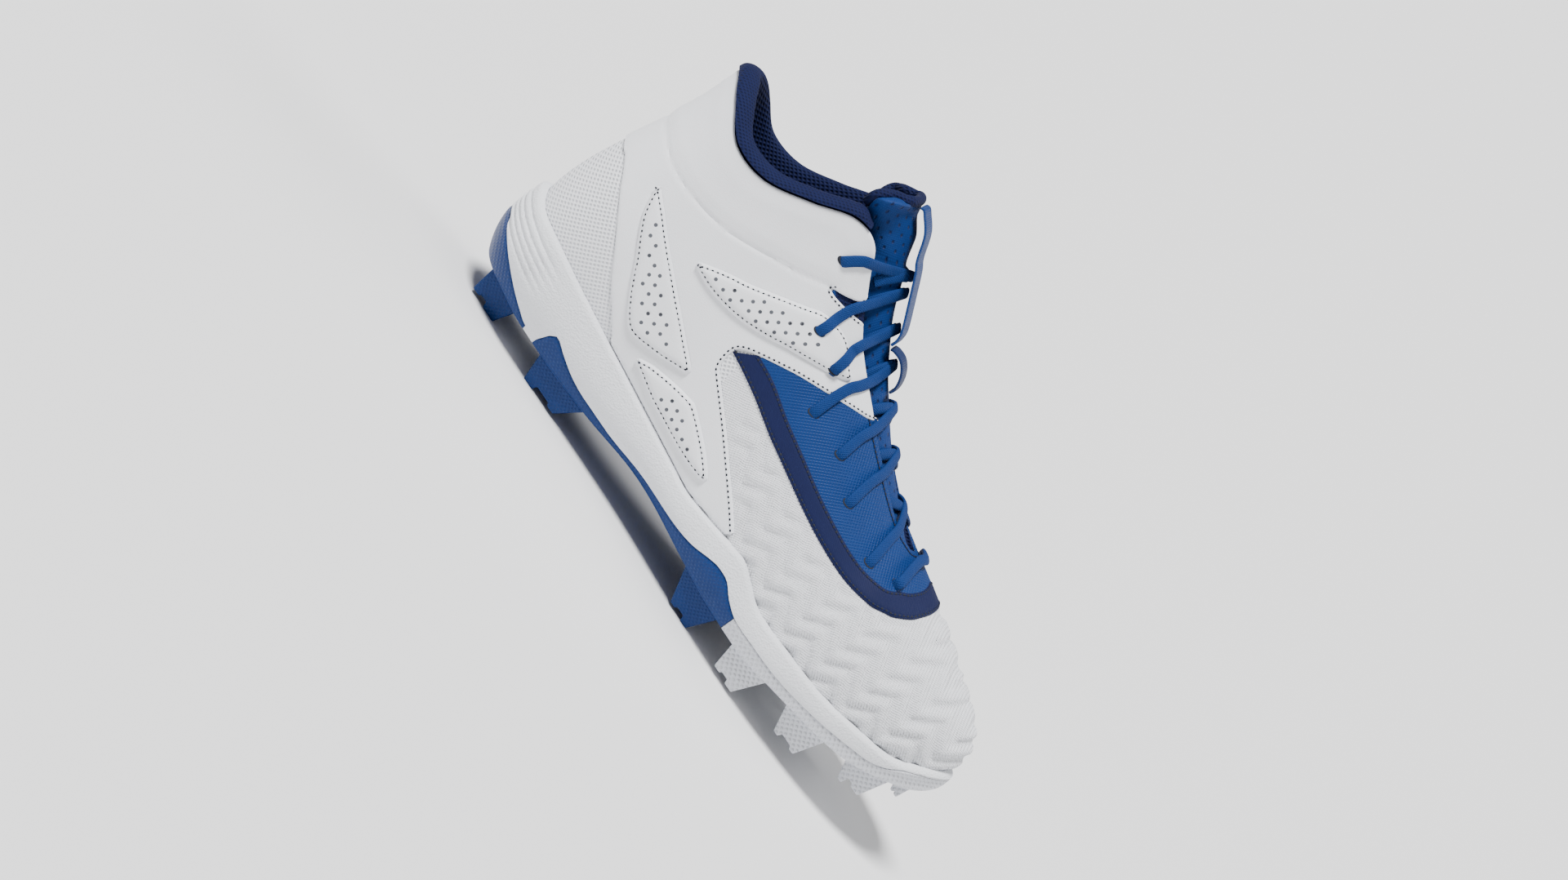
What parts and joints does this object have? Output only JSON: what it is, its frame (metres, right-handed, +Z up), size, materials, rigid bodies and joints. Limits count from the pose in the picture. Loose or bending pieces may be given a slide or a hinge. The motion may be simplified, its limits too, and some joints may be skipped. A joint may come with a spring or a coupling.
{
  "type": "baseball cleat",
  "caption": "Mid-cut baseball cleat with moulded studs, a padded collar, a laced throat and overlays with raised pads; stands empty on its studs.",
  "frame": {"origin": "on the ground, under the middle of the shoe's length and width", "axes": "+X towards the toe, +Y towards the inner side of this right shoe, +Z up"},
  "size_m": [0.3058, 0.0976, 0.1812],
  "materials": {
    "knit_white": "knit with fine diagonal ribs",
    "synthetic_white": "matt synthetic with a fine grain",
    "ripstop_blue": "close diamond weave",
    "trim_navy": "plain synthetic trim",
    "lining_navy": "soft knitted mesh",
    "tongue_blue": "padded mesh with small slots",
    "foam_white": "moulded foam, fine pebble",
    "stud_blue": "moulded, satin",
    "stud_white": "moulded with a fine knurl",
    "insole_navy": "woven top over foam",
    "strap_blue": "flat woven webbing",
    "strap_navy": "flat woven webbing",
    "lace_blue": "flat woven lace"
  },
  "bodies": {
    "root": {"upper": "knit_white", "quarter": "synthetic_white", "vamp_trim": "trim_navy", "vamp_panel": "ripstop_blue", "pad_rear_outer": "synthetic_white", "pad_rear_inner": "synthetic_white", "pad_upper_outer": "synthetic_white", "pad_upper_inner": "synthetic_white", "pad_lower_outer": "synthetic_white", "pad_lower_inner": "synthetic_white", "collar_lining": "lining_navy", "tongue": "tongue_blue", "midsole": "foam_white", "outsole_heel": "stud_blue", "outsole_mid": "stud_blue", "outsole_front": "stud_white", "insole": "insole_navy", "tongue_binding": "lining_navy", "tongue_strap": "strap_blue", "lace_keeper": "strap_navy", "lace_1": "lace_blue", "lace_2": "lace_blue", "lace_3": "lace_blue", "lace_4": "lace_blue", "lace_5": "lace_blue", "lace_6": "lace_blue", "lace_7": "lace_blue", "lace_bar": "lace_blue"}
  },
  "joints": []
}
